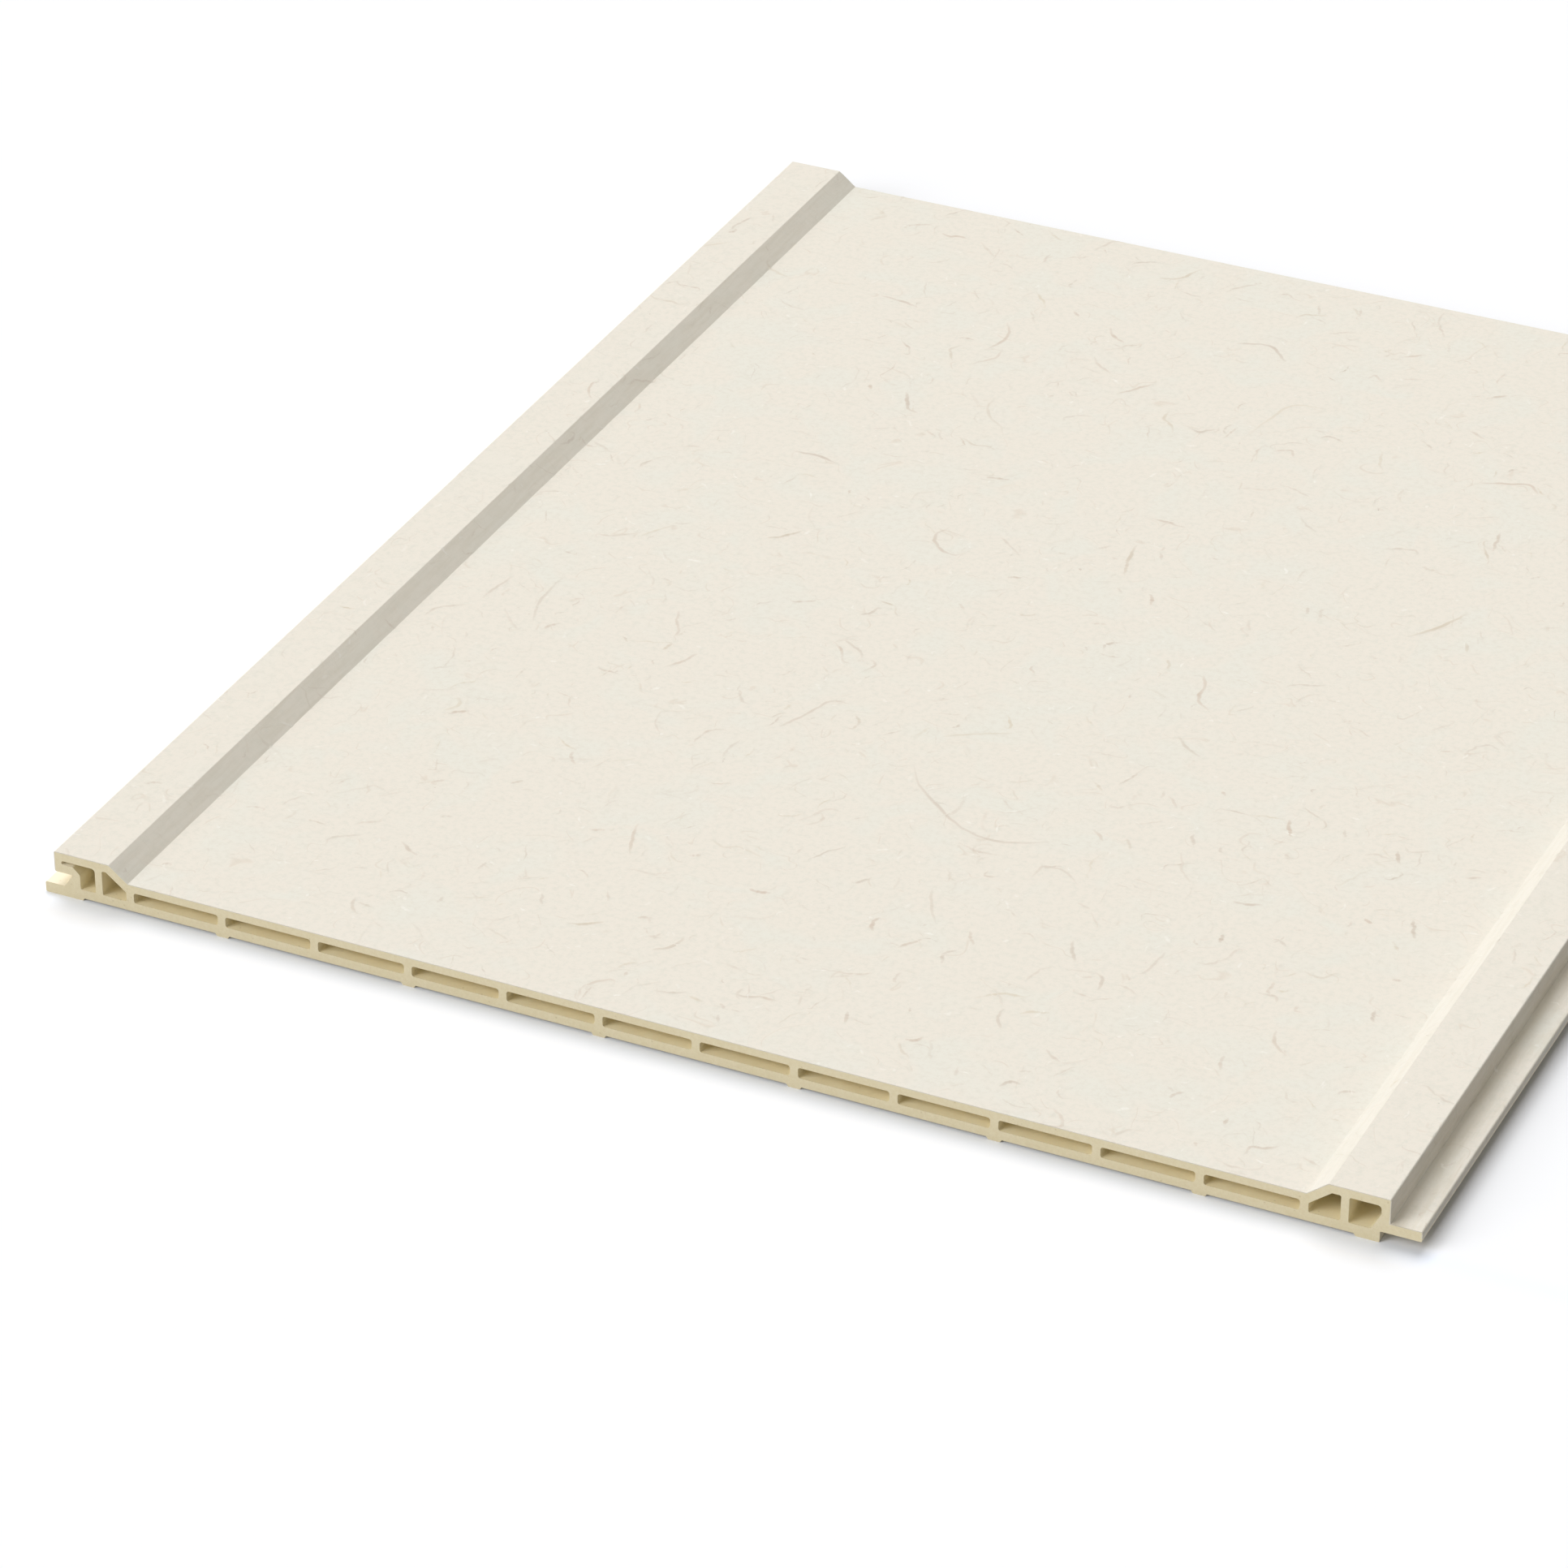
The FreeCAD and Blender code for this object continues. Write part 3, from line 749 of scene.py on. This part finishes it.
sky_level = 0.245
sky_lean = (-0.53, -0.5, 0.4)
sky_colour = (1.03, 1.0, 0.93, 1.0)
white = (1.0, 1.0, 1.0, 1.0)
world = bpy.data.worlds.new("soft_sky")
bpy.context.scene.world = world
world.use_nodes = True
world.node_tree.nodes.clear()
bench = Bench(world.node_tree)
shown = looked_at(bench)
direction = bench.node("ShaderNodeTexCoord").outputs["Generated"]
towards = bench.vector_math("DOT_PRODUCT", direction, sky_lean)
leaning = bench.ramp(towards, -1, 1, 0, 2 * sky_level)
sky = bench.out("ShaderNodeBackground", Color=bench.mix(shown, sky_colour, white),
                Strength=bench.ramp(shown, 0, 1, leaning, 1.0))
bench.node("ShaderNodeOutputWorld", Surface=sky)


def soft_sun(name, way, strength, spread):
    """A sun that shines on the panel from a direction, blurred over an angle in degrees."""
    lamp = bpy.data.lights.new(name, "SUN")
    lamp.energy = math.pi * strength
    lamp.angle = math.radians(spread)
    lamp_object = bpy.data.objects.new(name, lamp)
    lamp_object.location = way
    lamp_object.rotation_euler = way.to_track_quat("Z", "Y").to_euler()
    bpy.context.scene.collection.objects.link(lamp_object)
    return lamp


def way_from(azimuth, elevation):
    """The direction of a place seen from the panel, turned in degrees from the near end."""
    turn = math.radians(azimuth)
    height = math.radians(elevation)
    return Vector((math.sin(turn) * math.cos(height),
                   -math.cos(turn) * math.cos(height),
                   math.sin(height)))


main_way = Vector((-0.13, 0.23, 0.485))
main_lamp = soft_sun("main_lamp", main_way, strength=main_way.length, spread=45)
main_lamp.color = (0.98, 1.0, 1.045)
soft_sun("fill_lamp", way_from(-40, 31), strength=0.475, spread=35)

# The camera: a long lens about 1.4 m away, to the right in front of the near end and a third
# of the way up from level. Its frame cuts the panel's far right part off, as the
# photograph's does.
camera_distance = 1384.1 * mm
camera_target = Vector((-24.49, -93.01, 10.6)) * mm
backward = way_from(25.197, 31.379)
camera = bpy.data.cameras.new("camera")
camera.lens = 148.41
camera.sensor_width = 36
camera.clip_start = 0.05
camera.clip_end = 50
camera_object = bpy.data.objects.new("camera", camera)
camera_object.location = camera_target + backward * camera_distance
camera_object.rotation_euler = backward.to_track_quat("Z", "Y").to_euler()
bpy.context.scene.collection.objects.link(camera_object)
bpy.context.scene.camera = camera_object
bpy.context.scene.view_settings.view_transform = "Standard"

bpy.context.view_layer.update()
